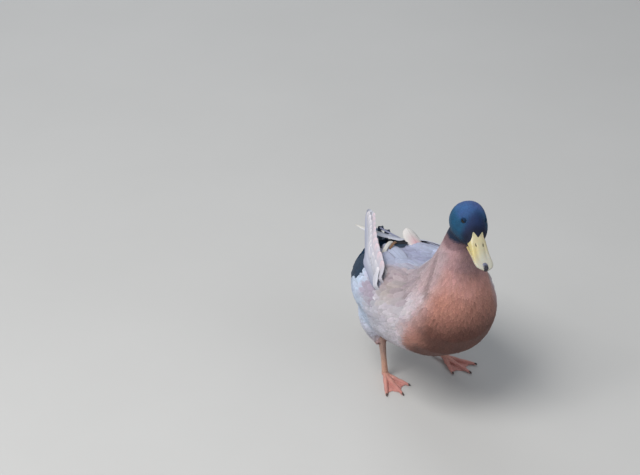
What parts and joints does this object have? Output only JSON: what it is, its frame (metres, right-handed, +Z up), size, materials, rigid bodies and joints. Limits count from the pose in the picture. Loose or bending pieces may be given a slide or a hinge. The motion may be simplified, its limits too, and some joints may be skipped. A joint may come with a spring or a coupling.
{
  "type": "duck",
  "caption": "Standing farmyard drake with dark glossy head, pale bill, rusty breast, raised folded wing tips and webbed feet, as a still life-size model.",
  "frame": {"origin": "on the floor, under the middle of the bird's bounding box", "axes": "+Z up, the bird faces -Y and its right side is -X"},
  "size_m": [0.185, 0.4112, 0.3591],
  "materials": {
    "body_feathers": "soft overlapping feathers, rusty brown breast, pale flanks",
    "neck_feathers": "short soft feathers, dusty pink brown",
    "head_feathers": "short close feathers with a blue-green gloss",
    "wing_coverts": "overlapping feathers, lavender grey with paler edges",
    "flight_feathers": "stiff smooth vanes, pale lavender with cream centres",
    "tail_feathers": "stiff smooth vanes, pale grey",
    "curl_feathers": "curled glossy feathers, dark teal",
    "bill_skin": "smooth, slightly waxy, yellow at the base and paler at the tip",
    "nail_horn": "smooth dark horn",
    "eye_wet": "wet, dark brown",
    "leg_skin": "scaled skin, orange to red"
  },
  "bodies": {
    "root": {"bill_lower": "bill_skin", "bill_nail": "nail_horn", "bill_upper": "bill_skin", "eye_left": "eye_wet", "eye_right": "eye_wet", "foot_left": "leg_skin", "foot_right": "leg_skin", "head": "head_feathers", "neck": "neck_feathers", "shank_left": "leg_skin", "shank_right": "leg_skin", "tail": "tail_feathers", "tail_curl_1": "curl_feathers", "tail_curl_2": "curl_feathers", "thigh_left": "body_feathers", "thigh_right": "body_feathers", "trunk": "body_feathers", "wing_arm_left": "wing_coverts", "wing_arm_right": "wing_coverts", "wing_hand_left": "flight_feathers", "wing_hand_right": "flight_feathers", "wing_tertials_left": "flight_feathers", "wing_tertials_right": "flight_feathers"}
  },
  "joints": []
}
